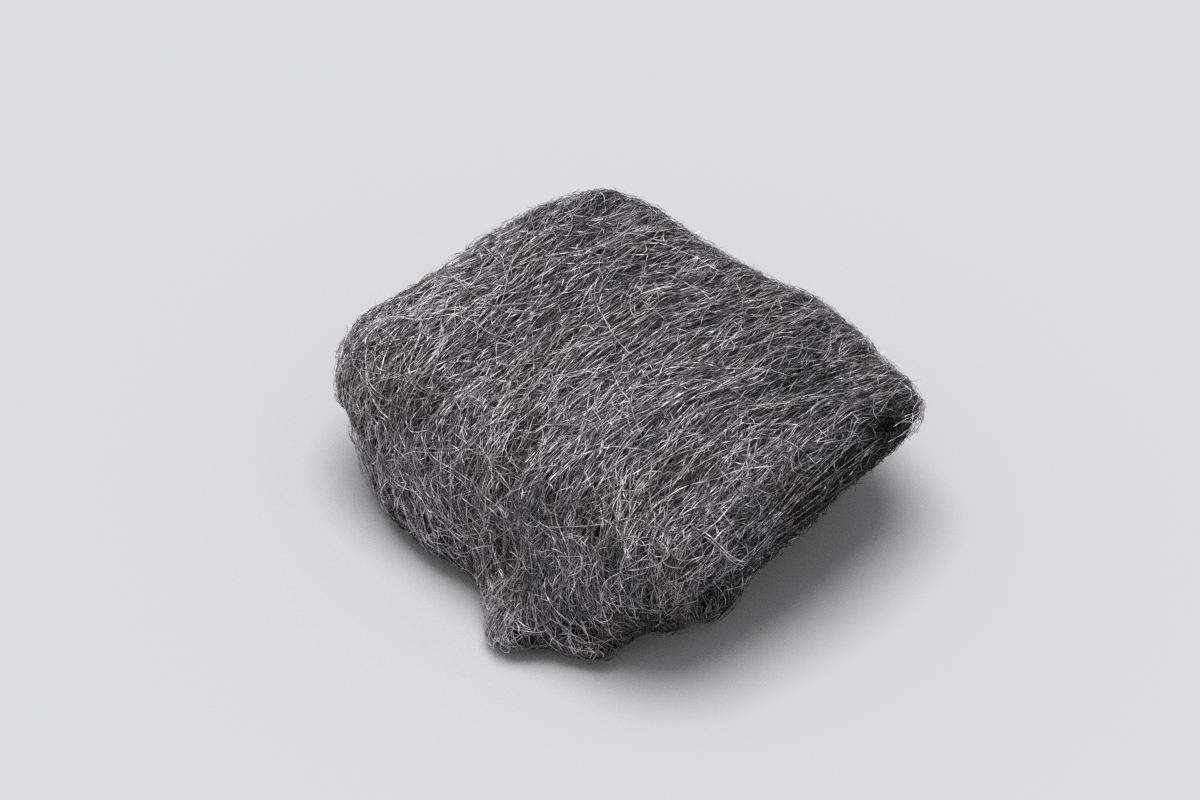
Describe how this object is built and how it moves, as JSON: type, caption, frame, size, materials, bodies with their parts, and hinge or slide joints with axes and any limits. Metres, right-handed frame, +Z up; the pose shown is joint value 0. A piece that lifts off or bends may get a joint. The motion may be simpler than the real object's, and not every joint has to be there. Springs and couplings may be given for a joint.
{
  "type": "steel wool pad",
  "caption": "Folded hand pad of steel wool, a ribbon of fine steel strands doubled at the back and tucked down in front, for scouring, polishing and stripping.",
  "frame": {"origin": "on the bench, under the middle of the pad's outline", "axes": "+Z up; X across the width of the ribbon; Y along the strands, with the fold at +Y and the tuck at -Y"},
  "size_m": [0.104, 0.1022, 0.0329],
  "materials": {
    "steel_wool": "loose bright steel strands with dark gaps between them"
  },
  "bodies": {
    "root": {"wool_pad": "steel_wool"}
  },
  "joints": []
}
